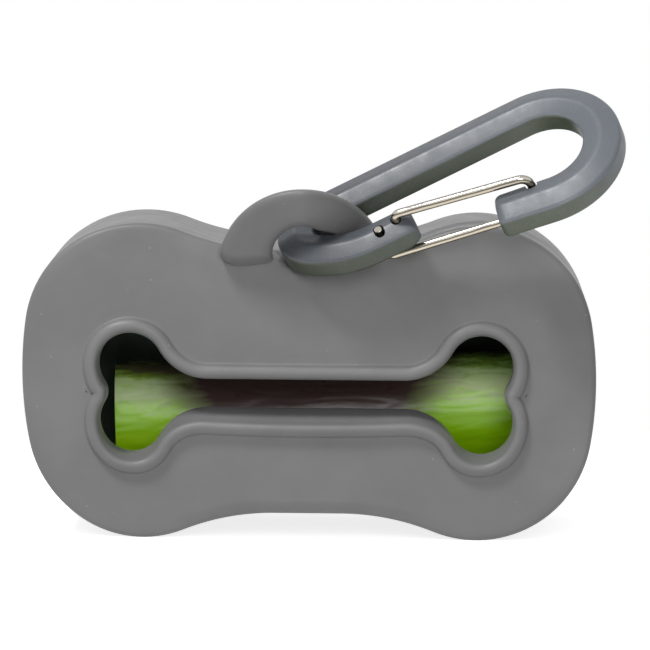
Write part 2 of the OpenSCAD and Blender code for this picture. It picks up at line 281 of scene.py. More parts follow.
# ---- Bone outlines, as in the CAD ---------------------------------------------------

# Points on each arc of a quarter outline, and on the straight run at its waist
END_N, LOBE_N, FLANK_N, WAIST_N = 12, 30, 18, 8


def bone(w, h, lr, fr, wh, er, bowed):
    """The arcs of a bone outline w wide, h high and wh high at its waist.

    They are its end's, a lobe's and a flank's, with the radii er, lr and fr. The end bulges
    out where bowed is true, and is a notch between the lobes where it isn't.
    """
    ly = h / 2 - lr
    if bowed:
        ex = w / 2 - er
        lx = ex + math.sqrt((er - lr) ** 2 - ly * ly)
    else:
        lx = w / 2 - lr
        ex = lx + math.sqrt((lr + er) ** 2 - ly * ly)
    fx = lx - math.sqrt((lr + fr) ** 2 - (wh / 2 + fr - ly) ** 2)
    return (ex, er, bowed), (lx, ly, lr), (fx, fr, wh / 2)


def outline(shape, off=0.0):
    """Points of a bone outline grown by off, anticlockwise from its right end."""
    (ex, er, bowed), (lx, ly, lr), (fx, fr, half) = shape
    toward = math.degrees(math.atan2(ly, abs(lx - ex)))
    a0, a1 = (0, toward) if bowed else (180, 180 - toward)
    l0 = toward if bowed else -toward
    l1 = math.degrees(math.atan2(half + fr - ly, fx - lx))
    q = arc(ex, 0, er + (off if bowed else -off), a0, a1, END_N)
    q += arc(lx, ly, lr + off, l0, l1, LOBE_N)
    q += arc(fx, half + fr, fr - off, l1 + 180, 270, FLANK_N)
    q += [(fx * (1 - i / WAIST_N), half + off) for i in range(WAIST_N + 1)]
    right_top, right_low = q[:-1], q[1:]
    return (
        right_top
        + [(-x, y) for x, y in reversed(right_low)]
        + [(-x, -y) for x, y in right_top]
        + [(x, -y) for x, y in reversed(right_low)]
    )


BODY_BONE = bone(BODY_W, BODY_H, LOBE_R, FLANK_R, WAIST_H, END_R, True)
MOUTH_BONE = bone(MOUTH_W, MOUTH_H, MOUTH_LOBE_R, MOUTH_FLANK_R, SLOT_H, NIB_R, False)
WAIST_X = BODY_BONE[2][0]
MOUTH_LOBE_X = MOUTH_BONE[1][0]


def face_z(x, y):
    bulge = max(0, 1 - (2 * x / BODY_W) ** 2) * max(0, 1 - (2 * y / BODY_H) ** 2)
    return BODY_D + CROWN * bulge


def mouth(off, share):
    """Outline of the mouth, grown by off. share is how much of the lower lip's slope it has."""
    out = []
    for (x, y), (_, y0) in zip(outline(MOUTH_BONE, off), outline(MOUTH_BONE, off - 1)):
        slope = LIP_SLOPE - (LIP_SLOPE - LOBE_SLOPE) * min(1, (x / MOUTH_LOBE_X) ** 2)
        out.append((x + MOUTH_X, y + MOUTH_Y - share * max(0, y0 - y) * slope))
    return out


def flat(points, z):
    return [(x, y, z) for x, y in points]


def lean(points):
    """Leans the left end out at the top and in at the bottom, as the soft pouch does."""
    return [(x - END_LEAN * y * min(1, max(0, -x / LEAN_X)) ** 2, y, z) for x, y, z in points]


def on_face(points, dz):
    return [(x, y, face_z(x, y) + dz) for x, y in points]


def between(a, b, t):
    return [(p[0] * (1 - t) + q[0] * t, p[1] * (1 - t) + q[1] * t) for p, q in zip(a, b)]


# ---- Pouch --------------------------------------------------------------------------

# Heights of the rings up the side
SIDE_STATIONS = (6, 9, 13, 17, 21, 24, 26, 28, 29, 30, 31, 32, 32.8, 33.5, 34.2, 34.7)
# Section of the bead and lip: offset from the mouth's edge, and height above the face
BEAD = (
    (2.75, 0.0), (2.5, 0.04), (2.38, 0.16), (2.32, 0.36), (2.22, 0.62), (2.02, 0.88),
    (1.74, 1.09), (1.4, 1.24), (1.02, 1.3), (0.66, 1.22), (0.36, 0.98), (0.15, 0.6),
    (0.04, 0.1), (0.0, -0.5), (-0.04, -1.8), (-0.08, -3.4), (-0.1, -4.1), (0.02, -4.34),
    (0.25, -4.4), (1.4, -4.4), (1.62, -4.3), (1.7, -4.0), (1.8, -3.1), (2.0, -2.6),
)
# Steps over the back's and the rim's edge, the face, its inner side and the cavity's edges
BACK_N, RIM_N, FACE_N, UNDER_N, CAVITY_N = 8, 6, 16, 5, 5


def pouch_rings():
    """Rings from the back over the side, the face and the mouth to the cavity's floor."""
    rings = []
    for a in quarter(BACK_N):
        off = -BACK_R * (1 - math.sin(a))
        rings.append(flat(outline(BODY_BONE, off), BACK_R * (1 - math.cos(a))))
    rings += [flat(outline(BODY_BONE), z) for z in SIDE_STATIONS]
    for a in quarter(RIM_N):
        off = -RIM_R * (1 - math.cos(a))
        rings.append(flat(outline(BODY_BONE, off), BODY_D - RIM_R * (1 - math.sin(a))))
    rim, crease = outline(BODY_BONE, -RIM_R), mouth(BEAD[0][0], 1)
    rings += [on_face(between(rim, crease, i / FACE_N), 0) for i in range(1, FACE_N)]
    rings += [on_face(mouth(off, 1 + min(0, dz) / LIP_D), dz) for off, dz in BEAD]
    inner, under = outline(BODY_BONE, -WALL - CAVITY_R), BODY_D - FRONT_WALL
    hem = mouth(BEAD[-1][0], 1 - FRONT_WALL / LIP_D)
    rings += [on_face(between(hem, inner, i / UNDER_N), -FRONT_WALL) for i in range(1, UNDER_N)]
    rings.append(flat(inner, under))
    for a in quarter(CAVITY_N)[1:]:
        off = -WALL - CAVITY_R * (1 - math.sin(a))
        rings.append(flat(outline(BODY_BONE, off), under - CAVITY_R * (1 - math.cos(a))))
    for a in quarter(CAVITY_N):
        off = -WALL - CAVITY_R * (1 - math.cos(a))
        rings.append(flat(outline(BODY_BONE, off), WALL + CAVITY_R * (1 - math.sin(a))))
    return rings


LOOP_STATIONS, LOOP_SIDES = 110, 36
# 1 would make the loop's section an ellipse, and less makes it fuller at its corners
LOOP_POWER = 0.75


def soft_floor(h):
    return (h + math.sqrt(h * h + 1)) / 2


def loop_z(x, y):
    """Height of the loop's middle: it leans and twists out of the face, and never dips below."""
    back = x * x / (x + TWIST_EASE) if x > 0 else 0
    lift = (y - HOLE_Y) * math.tan(rad(LOOP_LEAN))
    raw = LOOP_OUT + lift - back * math.tan(rad(LOOP_TWIST))
    return BODY_D - LOOP_SUNK + soft_floor(raw + LOOP_SUNK)


def rounded(c):
    return math.copysign(abs(c) ** LOOP_POWER, c)


def loop_rings():
    rings = []
    for i in range(LOOP_STATIONS + 1):
        a = rad(-LOOP_FOOT + (180 + 2 * LOOP_FOOT) * i / LOOP_STATIONS)
        e = LOOP_OFFSET * math.sin(a)
        reach = -e + math.sqrt(e * e - LOOP_OFFSET**2 + LOOP_R**2)
        past = abs(math.degrees(a) - 90) - FOOT_START
        foot = max(0, past / (90 + LOOP_FOOT - FOOT_START)) ** 2
        reach *= 1 - FOOT_IN * foot
        mid, half = (reach + HOLE_R) / 2, (reach - HOLE_R) / 2
        thick = LOOP_T / 2 * (1 - FOOT_THIN * foot)
        ring = []
        for k in range(LOOP_SIDES):
            b = math.tau * k / LOOP_SIDES
            r = mid + half * rounded(math.cos(b))
            x, y = r * math.cos(a), HOLE_Y + r * math.sin(a)
            z = loop_z(x, y) - FOOT_SINK * foot + thick * rounded(math.sin(b))
            ring.append((LOOP_X + x, y, z))
        rings.append(ring)
    return rings


# The groove for the hook's bar: its radius and half its length
GROOVE_R, GROOVE_L = 3.5, 8.6
# It is drawn out sideways by LOW_STEPS below LOW_Z. Above that it gets one step for each
# LEG_RISE that it lies over -LEG_START, up to MOST_STEPS
GROOVE_STEP, LOW_STEPS, MOST_STEPS, LOW_Z = 0.7, 2, 4, -1
LEG_RISE, LEG_START = 0.65, 1.7


def make_room(points):
    """Pushes points out of the space that the hook's bar needs in the loop and the rim."""
    frame_in = PIN @ turn(-90, "X")
    frame_out = frame_in.inverted()
    out = []
    for p in points:
        q = frame_out @ Vector(p)
        rising = (q.z + LEG_START) / LEG_RISE
        steps = LOW_STEPS if q.z < LOW_Z else min(MOST_STEPS, rising)
        shift = min(max(q.x, 0), steps * GROOVE_STEP)
        side = Vector((q.x - shift, q.y))
        if abs(q.z) < GROOVE_L and 0 < side.length < GROOVE_R:
            side = side.normalized() * GROOVE_R
            p = frame_in @ Vector((side.x + shift, side.y, q.z))
        out.append(p)
    return out


def make_pouch():
    points, faces = loft(pouch_rings())
    skin = mesh_object("pouch_skin", place(make_room(lean(points)), STAND), faces)
    shade(skin, 60)
    points, faces = loft(loop_rings())
    loop = mesh_object("pouch_loop", place(make_room(points), STAND), faces)
    shade(loop, 60)
    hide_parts("pouch")
    for piece in (skin, loop):
        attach(piece, "pouch")
    return skin, loop


# ---- Bag roll -----------------------------------------------------------------------

ROLL_R = ROLL_D / 2
ROLL_FLOOR = -WAIST_H / 2 + WALL + ROLL_GAP + ROLL_R
ROLL_Y = ROLL_FLOOR + WAIST_X * math.tan(rad(ROLL_SKEW)) + ROLL_LIFT
ROLL_Z = WALL + ROLL_GAP + ROLL_R
# The roll's own frame: its axis along Z, +X to the pouch's back and +Y up
ROLL = (
    STAND
    @ Matrix.Translation((ROLL_X, ROLL_Y, ROLL_Z))
    @ turn(ROLL_SKEW, "Z")
    @ turn(90, "Y")
)

FILM_ALONG, FILM_AROUND = 150, 260
# Where the outer turn ends, which is out of sight behind the upper lip
LOOSE_EDGE = 60
# How far the film lies inside the roll's radius, and how much its hidden end does so besides
FILM_IN, HIDDEN_IN = 0.08, 0.25
# The film's folds and creases, and the share of both that the outer turn shows
FOLD_DEEP, CREASE_DEEP, CREASE_WIDE, DENT_SHARE = 0.12, 0.3, 0.2, 0.9

# The spiral of turns: their count, points to a turn, and the strip's width
TURNS, TURN_N, STRIP = 13, 72, 2.5
# Its gap to the core, how far it stays inside the roll's radius and ends, and how ragged it is
LAYERS_OFF_CORE, LAYERS_IN, LAYERS_SHORT, RAGGED = 0.1, 0.9, 0.25, 0.35

# How much shorter than the roll the tube is, and how far its rims are cut back
CORE_SHORT, CORE_RIM, CORE_N = 1, 0.15, 64


def film_dent(z, a):
    """How far the outer turn sinks at height z along the roll and angle a round it."""
    p = about_z(1.1, a, z * 0.035)
    folds = noise.noise(p * 1.7) + 0.5 * noise.noise(p * 4.1 + Vector((9, 2, 5)))
    q = about_z(5, a, z * 0.12 + math.sin(a * 2) * 0.8)
    creases = abs(noise.noise(q + Vector((3, 7, 1))))
    return FOLD_DEEP * (folds + 0.9) + CREASE_DEEP * max(0, CREASE_WIDE - creases)


def wound_film():
    """The outer turn: one sheet round the roll, from its hidden end to its loose edge."""
    rings = []
    for i in range(FILM_ALONG + 1):
        z = -ROLL_L / 2 + ROLL_L * i / FILM_ALONG
        ring = []
        for k in range(FILM_AROUND + 1):
            done = k / FILM_AROUND
            a = rad(LOOSE_EDGE) + math.tau * done
            r = ROLL_R - FILM_IN - HIDDEN_IN * (1 - done) - film_dent(z, a) * DENT_SHARE
            ring.append(ROLL @ about_z(r, a, z))
        rings.append(ring)
    return loft(rings, caps=False, closed=False)


def wound_layers():
    """The wound turns as the ends of the roll show them: one strip in a spiral at each end."""
    inner, outer = CORE_D / 2 + LAYERS_OFF_CORE, ROLL_R - LAYERS_IN
    count = TURNS * TURN_N
    points, faces = [], []
    for end in (-1, 1):
        base = len(points)
        for k in range(count + 1):
            a = math.tau * k / TURN_N
            r = inner + (outer - inner) * k / count
            ragged = RAGGED * noise.noise(about_z(2, a, r * 2.5 + end))
            z = end * (ROLL_L / 2 - LAYERS_SHORT - abs(ragged))
            points.append(ROLL @ about_z(r, a, z))
            points.append(ROLL @ about_z(r, a, z - end * STRIP))
        for k in range(base, base + 2 * count, 2):
            faces.append((k, k + 2, k + 3, k + 1))
    return points, faces


def core_tube():
    """The card tube: outer wall, bevelled rims and bore, as one revolved section."""
    wall, bore, h, c = CORE_D / 2, CORE_D / 2 - CORE_WALL, (ROLL_L - CORE_SHORT) / 2, CORE_RIM
    profile = [
        (wall, -h + c), (wall, h - c), (wall - c, h), (bore + c, h),
        (bore, h - c), (bore, -h + c), (bore + c, -h), (wall - c, -h),
    ]
    rings = []
    for i in range(CORE_N):
        a = math.tau * i / CORE_N
        rings.append([ROLL @ about_z(r, a, z) for r, z in profile])
    rings.append(rings[0])
    return loft(rings, caps=False)


def make_roll():
    film = mesh_object("roll_film", *wound_film())
    shade(film, 80)
    layers = mesh_object("roll_layers", *wound_layers())
    shade(layers, 80)
    core = mesh_object("roll_core_tube", *core_tube())
    shade(core, 35)
    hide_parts("lead_bag")
    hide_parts("bag_roll")
    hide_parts("roll_core")
    for piece in (film, layers, core):
        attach(piece, "roll")
    return film, layers, core


# ---- Snap hook ----------------------------------------------------------------------

NOSE_START = Vector((
    BEND_L - WIDE_R * math.sin(rad(NOSE_IN)),
    WIDE_R + WIDE_R * math.cos(rad(NOSE_IN)),
    0,
))
ALONG_NOSE = Vector((-math.cos(rad(NOSE_IN)), -math.sin(rad(NOSE_IN)), 0))
# Where the wire crosses the nose, and how far out of the hook's middle plane its legs run
CROSS_X = BEND_L - HOOK_BACK
NOSE_DROP = (NOSE_START.x - CROSS_X) * math.tan(rad(NOSE_IN))
CROSS_Y = NOSE_START.y - NOSE_DROP - BAR / 2 + WIRE_R / 2
LEG_Z = BAR / 2 + WIRE_GAP + WIRE_R

# Steps along the bar: leg's cap, leg, the two bends, spine, wide end, nose and its cap
LEG_CAP_N, LEG_N, GENTLE_N, TIGHT_N = 12, 8, 30, 36
SPINE_N, WIDE_N, NOSE_N, NOSE_CAP_N = 60, 90, 14, 10
# The last steps of the wide end, over which the bar widens toward the nose
WIDEN_N = 60
CORNER_N, SLOT_N, WIRE_N = 7, 20, 28

# The notch that takes the wire under the nose: its length and its play round the wire
NOTCH_L, NOTCH_FIT = 2.5, 0.25
# The wire's ends: how far under the bar's face they stop, and how far and to what they narrow
END_IN, END_TAPER, END_SHARE = 0.15, 0.12, 0.84


def level(points):
    return [Vector((x, y, 0)) for x, y in points]


def bar_section():
    """The bar's section: flat sides, and a low ridge along the middle of each face."""
    corners = [
        (BAR_SIDE, BAR_EDGE, EDGE_R), (0, BAR_RIDGE, RIDGE_R), (-BAR_SIDE, BAR_EDGE, EDGE_R),
        (-BAR_SIDE, -BAR_EDGE, EDGE_R), (0, -BAR_RIDGE, RIDGE_R), (BAR_SIDE, -BAR_EDGE, EDGE_R),
    ]
    points = level((x, y) for x, y, _ in corners)
    section = []
    for i, (_, _, r) in enumerate(corners):
        before, after = points[i - 1], points[(i + 1) % len(points)]
        bend = round_corners([before, points[i], after], (r,), CORNER_N)[1:-1]
        section += [(p.x, p.y) for p in bend]
    return section


def bar_path():
    """The bar's middle line, from the leg's cut end to the nose's tip, and its two widths."""
    turn_in = math.degrees(math.asin((GATE_Y - TIGHT_R - GENTLE_R) / (TIGHT_R - GENTLE_R)))
    gentle_x = (GENTLE_R - TIGHT_R) * math.cos(rad(turn_in))
    path, share = [], []
    for a in quarter(LEG_CAP_N):
        cap = 1 - math.cos(a)
        path.append(Vector((LEG_L - LEG_CAP * cap, GATE_Y, 0)))
        share.append(LEG_SHARE * (LEG_TIP + LEG_SWELL * math.sqrt(1 - (1 - cap) ** 2)))
    run = LEG_L - LEG_CAP - gentle_x
    path += level((gentle_x + run * (1 - i / LEG_N), GATE_Y) for i in range(1, LEG_N))
    share += [LEG_SHARE] * (LEG_N - 1)
    path += level(arc(gentle_x, GATE_Y - GENTLE_R, GENTLE_R, 90, 180 - turn_in, GENTLE_N))
    share += ease(LEG_SHARE, 1, GENTLE_N)
    path += level(arc(0, TIGHT_R, TIGHT_R, 180 - turn_in, 270, TIGHT_N))
    path += level((BEND_L * i / SPINE_N, 0) for i in range(SPINE_N))
    path += level(arc(BEND_L, WIDE_R, WIDE_R, -90, 90 + NOSE_IN, WIDE_N))
    wide = [1.0] * (len(path) - WIDEN_N) + ease(1, NOSE_WIDE, WIDEN_N)
    share += [1.0] * (len(path) - len(share))
    path += [NOSE_START + ALONG_NOSE * (NOSE_L - NOSE_CAP) * i / NOSE_N for i in range(NOSE_N)]
    share += ease(1, NOSE_SHARE, NOSE_N)
    for a in quarter(NOSE_CAP_N):
        cap = math.sin(a)
        path.append(NOSE_START + ALONG_NOSE * (NOSE_L - NOSE_CAP * (1 - cap)))
        share.append(NOSE_SHARE * (NOSE_TIP + NOSE_SWELL * math.sqrt(1 - cap**2)))
    wide += [NOSE_WIDE] * (len(path) - len(wide))
    return path, share, wide


def capsule(name, centre, run, r, half):
    """A long slot's core: a cylinder along Z, drawn out along Y by run, up or down."""
    low, high = min(run, 0), max(run, 0)
    angles = [math.pi * i / SLOT_N for i in range(SLOT_N + 1)]
    ring = [(r * math.cos(a), high + r * math.sin(a)) for a in angles]
    ring += [(-r * math.cos(a), low - r * math.sin(a)) for a in angles]
    rings = [
        [HOOK @ Vector((centre.x + x, centre.y + y, z)) for x, y in ring] for z in (-half, half)
    ]
    return mesh_object(name, *loft(rings))


def make_hook():
    path, share, wide = bar_path()
    points, faces = loft(sweep(path, bar_section(), share, wide))
    hook = mesh_object("hook_bar", place(points, HOOK), faces)
    # The two slots give the wire's ends room for the gate's whole swing
    slot_run = PIVOT_STEP / 2 * math.sin(rad(GATE_OPEN)) + WIRE_FIT
    slot_shift = PIVOT_STEP / 4 * (1 - math.cos(rad(GATE_OPEN)))
    slot_r = WIRE_R + WIRE_FIT + slot_shift
    for x, run, side in ((PIVOT_FAR, slot_run, 1), (PIVOT_FAR + PIVOT_STEP, -slot_run, -1)):
        centre = Vector((x + side * slot_shift, GATE_Y, 0))
        cut(hook, capsule("slot", centre, run, slot_r, BAR))
    centre = Vector((CROSS_X, CROSS_Y, 0))
    cut(hook, capsule("notch", centre, -NOTCH_L, WIRE_R + NOTCH_FIT, BAR))
    shade(hook, 32)
    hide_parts("hook_frame")
    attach(hook, "hook")
    return hook


def make_gate():
    end = BAR_RIDGE * LEG_SHARE - END_IN
    a, b = PIVOT_FAR + PIVOT_STEP, PIVOT_FAR
    corners = [
        Vector((b, GATE_Y, -end)), Vector((b, GATE_Y, LEG_Z)), Vector((CROSS_X, CROSS_Y, LEG_Z)),
        Vector((CROSS_X, CROSS_Y, -LEG_Z)), Vector((a, GATE_Y, -LEG_Z)), Vector((a, GATE_Y, end)),
    ]
    path = round_corners(corners, (PIVOT_BEND, WIRE_BEND, WIRE_BEND, PIVOT_BEND))
    first, last, taper = path[0], path[-1], Vector((0, 0, END_TAPER))
    path = [first, first + taper] + path[1:-1] + [last - taper, last]
    share = [END_SHARE] + [1] * (len(path) - 2) + [END_SHARE]
    points, faces = loft(sweep(path, circle(WIRE_R, WIRE_N), share, up=Vector((0, 1, 0))))
    gate = mesh_object("gate_wire", place(points, HOOK), faces)
    shade(gate, 40)
    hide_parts("wire_gate")
    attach(gate, "gate")
    return gate


# ---- Materials ----------------------------------------------------------------------

# Sockets of a Mix node that mixes colours
MIX_SHARE, MIX_A, MIX_B, MIXED = 0, 6, 7, 2
WHITE = (1, 1, 1, 1)


class Nodes:
    """The node tree of a material or world, with short calls for the nodes that it needs."""

    def __init__(self, owner):
        owner.use_nodes = True
        self.tree = owner.node_tree
        self.tree.nodes.clear()

    def add(self, kind, values=None, **settings):
        """A new node, with its settings and with values for its named inputs."""
        node = self.tree.nodes.new(kind)
        for key, value in settings.items():
            setattr(node, key, value)
        for key, value in (values or {}).items():
            node.inputs[key].default_value = value
        return node

    def link(self, a, b):
        self.tree.links.new(a, b)

    def part(self, vector, axis):
        node = self.add("ShaderNodeSeparateXYZ")
        self.link(vector, node.inputs[0])
        return node.outputs[axis]

    def spread(self, source, to, over=(0.3, 0.7)):
        """Maps source from the range over to the range to."""
        ranges = {"From Min": over[0], "From Max": over[1], "To Min": to[0], "To Max": to[1]}
        node = self.add("ShaderNodeMapRange", ranges)
        self.link(source, node.inputs["Value"])
        return node.outputs[0]

    def math(self, operation, a, b=0.0):
        node = self.add("ShaderNodeMath", operation=operation)
        for socket, value in zip(node.inputs, (a, b)):
            if isinstance(value, (int, float)):
                socket.default_value = value
            else:
                self.link(value, socket)
        return node.outputs[0]

    def join(self, kind, *sources):
        """A node that joins shaders, with sources for its inputs in their order."""
        node = self.add(kind)
        for socket, source in zip(node.inputs, sources):
            self.link(source, socket)
        return node.outputs[0]

    def show(self, kind, source):
        """The output node, with source as what is seen."""
        self.link(source, self.add(kind).inputs["Surface"])

    def seen_directly(self):
        """1 for rays that show a thing as it is: from the camera, mirrored or through glass."""
        path = self.add("ShaderNodeLightPath")
        share = path.outputs["Is Camera Ray"]
        for name in ("Is Glossy Ray", "Is Transmission Ray"):
            share = self.math("MAXIMUM", share, path.outputs[name])
        return share


class Surface(Nodes):
    """A material with one Principled shader, whose textures are laid out in mm."""

    def __init__(self, name):
        self.material = bpy.data.materials.new(name)
        super().__init__(self.material)
        self.shader = self.add("ShaderNodeBsdfPrincipled")
        self.show("ShaderNodeOutputMaterial", self.shader.outputs[0])
        coords = self.add("ShaderNodeTexCoord")
        self.object_space = coords.outputs["Object"]
        self.surface_normal = coords.outputs["Normal"]

    def put(self, **values):
        for key, value in values.items():
            self.shader.inputs[key.replace("_", " ")].default_value = value

    def in_mm(self, stretch=(1, 1, 1), at=(0, 0, 0)):
        values = {"Scale": [s / MM for s in stretch], "Location": at}
        node = self.add("ShaderNodeMapping", values)
        self.link(self.object_space, node.inputs["Vector"])
        return node.outputs[0]

    def normal_part(self, axis):
        """The surface normal's part along one of the object's own axes."""
        return self.part(self.surface_normal, axis)

    def inside(self, centre, depth):
        """1 on surfaces that face centre and lie less than depth in front of the back."""
        near = self.math("GREATER_THAN", self.part(self.in_mm(), Y), -depth)
        toward = self.add("ShaderNodeVectorMath", operation="DOT_PRODUCT")
        self.link(self.in_mm(at=[-c for c in centre]), toward.inputs[0])
        self.link(self.surface_normal, toward.inputs[1])
        return self.math("MULTIPLY", near, self.math("LESS_THAN", toward.outputs["Value"], 0.0))

    def texture(self, kind, values, stretch=(1, 1, 1), at=(0, 0, 0), **settings):
        node = self.add(kind, values, **settings)
        self.link(self.in_mm(stretch, at), node.inputs["Vector"])
        return node

    def noise(self, size, detail, rough=0.5, **where):
        values = {"Scale": 1 / size, "Detail": detail, "Roughness": rough}
        return self.texture("ShaderNodeTexNoise", values, **where).outputs["Fac"]

    def ramp(self, source, stops):
        node = self.add("ShaderNodeValToRGB")
        while len(node.color_ramp.elements) < len(stops):
            node.color_ramp.elements.new(0.5)
        for element, (at, colour) in zip(node.color_ramp.elements, stops):
            element.position = at
            element.color = (*colour, 1)
        self.link(source, node.inputs[0])
        return node.outputs[0]

    def mix(self, share, a, b, mode="MIX"):
        node = self.add("ShaderNodeMix", data_type="RGBA", blend_type=mode)
        for index, value in ((MIX_SHARE, share), (MIX_A, a), (MIX_B, b)):
            socket = node.inputs[index]
            if isinstance(value, (int, float)):
                socket.default_value = value
            elif isinstance(value, tuple):
                socket.default_value = (*value, 1)
            else:
                self.link(value, socket)
        return node.outputs[MIXED]

    def bump(self, height, mm, under=None):
        node = self.add("ShaderNodeBump", {"Distance": mm * MM})
        self.link(height, node.inputs["Height"])
        if under is not None:
            self.link(under, node.inputs["Normal"])
        return node.outputs[0]

    def colour(self, source):
        self.link(source, self.shader.inputs["Base Color"])

    def roughness(self, source):
        self.link(source, self.shader.inputs["Roughness"])

    def normal(self, source):
        self.link(source, self.shader.inputs["Normal"])


SILICONE_TONES = ((0.3, (0.124, 0.124, 0.124)), (0.7, (0.148, 0.148, 0.148)))
DUST, DUST_SHARE = (0.55, 0.55, 0.54), 0.18
# Painted shade in the cavity, green from a painted glow of light bounced off the film, up to
# CAVITY_D in front of the back
CAVITY_PAINTED_SHADE, CAVITY_D = (0.025, 0.055, 0.03), 31


def silicone():
    """Matt grey with faint clouds, fine grain and a little dust, and painted green-dark shade in
    the cavity.
    """
    m = Surface("silicone")
    tone = m.ramp(m.noise(14, 3), SILICONE_TONES)
    speck = m.texture("ShaderNodeTexVoronoi", {"Scale": 0.55}, feature="F1")
    small = m.spread(speck.outputs["Distance"], (1, 0), over=(0.05, 0.11))
    few = m.math("GREATER_THAN", m.noise(1.1, 1, at=(4, 1, 7)), 0.61)
    dust = m.math("MULTIPLY", m.math("MULTIPLY", small, few), DUST_SHARE)
    plain = m.mix(dust, tone, DUST)
    # Painted shade, green-dark from the film's bounced light, on the cavity's inner walls
    m.colour(m.mix(m.inside((0, -BODY_D / 2, 0), CAVITY_D), plain, CAVITY_PAINTED_SHADE))
    m.roughness(m.spread(m.noise(3, 3), (0.44, 0.56)))
    grain = m.bump(m.noise(0.22, 2), 0.012)
    m.normal(m.bump(m.noise(6, 2), 0.12, grain))
    m.put(Specular_IOR_Level=0.42, Sheen_Weight=0.06, Sheen_Roughness=0.4)
    return m.material


LIME_TONES = ((0.25, (0.28, 0.6, 0.001)), (0.5, (0.36, 0.74, 0.002)), (0.75, (0.5, 0.82, 0.03)))
# The colours of the painted sheen and of the painted brown-dark shade
FILM_PAINTED_SHEEN, FILM_PAINTED_SHADE = (0.75, 0.85, 0.55), (0.12, 0.075, 0.068)
# How strong the painted sheen is, by how far the film faces up
PAINTED_SHEEN_BAND = ((0.2, 0), (0.52, 0.8), (0.7, 0.65), (0.9, 0))
# How far from the middle the painted brown shade ends, and how far that edge moves as the film
# turns up
PAINTED_SHADE_EDGE, PAINTED_SHADE_SLANT = (13, 21), 7


def film():
    """Lime film, with a painted sheen where it faces up and forward, and painted brown-dark shade
    on top and behind the slot.
    """
    m = Surface("bag_film")
    streaks = m.noise(5, 5, 0.6, stretch=(0.16, 1, 1))
    cloud = m.noise(3.2, 4, 0.55, stretch=(0.5, 1, 1), at=(3, 0, 8))
    up = m.part(m.add("ShaderNodeNewGeometry").outputs["Normal"], Z)
    facing = m.math("ADD", up, m.spread(cloud, (-0.16, 0.16)))
    # Painted sheen, where the film faces up and forward
    painted_sheen = m.ramp(facing, [(at, (share,) * 3) for at, share in PAINTED_SHEEN_BAND])
    lime = m.mix(painted_sheen, m.ramp(streaks, LIME_TONES), FILM_PAINTED_SHEEN)
    # Painted shade, brown-dark, where the film faces straight up at its top
    lime = m.mix(m.spread(facing, (0, 0.9), over=(0.74, 1.0)), lime, FILM_PAINTED_SHADE)
    # Painted shade, brown-dark, in the middle behind the slot, reaching further out where the
    # film faces up
    out = m.math("ABSOLUTE", m.part(m.in_mm(), X))
    slant = m.math("SUBTRACT", out, m.math("MULTIPLY", facing, PAINTED_SHADE_SLANT))
    m.colour(m.mix(m.spread(slant, (1, 0), over=PAINTED_SHADE_EDGE), lime, FILM_PAINTED_SHADE))
    m.roughness(m.spread(cloud, (0.26, 0.42)))
    crinkle = m.bump(m.noise(1.4, 5, 0.6, stretch=(0.35, 1, 1)), 0.07)
    folds = m.noise(7, 3, 0.5, stretch=(0.3, 1, 1), at=(1, 5, 2))
    m.normal(m.bump(folds, 0.25, crinkle))
    m.put(Specular_IOR_Level=0.4, Coat_Weight=0.15, Coat_Roughness=0.3)
    return m.material


# Painted light and shade, with painted dark olive shade and green reflection of the pouch where
# it faces down, from facing down to facing up
PLASTIC_PAINTED_SHADING = (
    (0.1, (0.062, 0.077, 0.048)), (0.36, (0.105, 0.12, 0.105)), (0.5, (0.135, 0.15, 0.17)),
    (0.64, (0.096, 0.107, 0.122)), (0.9, (0.09, 0.1, 0.114)),
)
PLASTIC_FLECK = (0.4, 0.44, 0.46)
# Painted shade toward the loop and painted light toward the wide end: how bright the plastic is
# from the loop to the wide end, and where that is along X
PLASTIC_PAINTED_FADE, PAINTED_FADE_X = (0.62, 1.12), (2, 42)


def hook_plastic():
    """Clouded blue-grey plastic, with painted dark olive shade where it faces down and painted
    shade toward the loop.
    """
    m = Surface("hook_plastic")
    cloud = m.spread(m.noise(7, 4), (-0.12, 0.12))
    # Painted light and shade, by which way the plastic faces
    facing = m.spread(m.math("ADD", m.normal_part(Z), cloud), (0, 1), over=(-1, 1))
    # Painted shade toward the loop and painted light toward the wide end
    along = m.spread(m.part(m.in_mm(), X), PLASTIC_PAINTED_FADE, over=PAINTED_FADE_X)
    tone = m.mix(1.0, m.ramp(facing, PLASTIC_PAINTED_SHADING), along, "MULTIPLY")
    fleck = m.spread(m.noise(0.3, 2), (0, 0.12), over=(0.62, 0.72))
    m.colour(m.mix(fleck, tone, PLASTIC_FLECK))
    m.roughness(m.spread(m.noise(2, 4), (0.34, 0.46)))
    fine = m.bump(m.noise(0.35, 3), 0.008)
    m.normal(m.bump(m.noise(4, 2), 0.05, fine))
    m.put(Specular_IOR_Level=0.4, Subsurface_Weight=0.12, Subsurface_Scale=0.001)
    return m.material


# Painted reflection, in dark and bright bands, from facing down to facing up
WIRE_PAINTED_REFLECTION = (
    (0.05, (0.2, 0.17, 0.12)), (0.3, (0.5, 0.45, 0.36)), (0.48, (0.09, 0.08, 0.07)),
    (0.62, (0.6, 0.56, 0.48)), (0.85, (0.42, 0.4, 0.36)), (1.0, (0.18, 0.17, 0.16)),
)


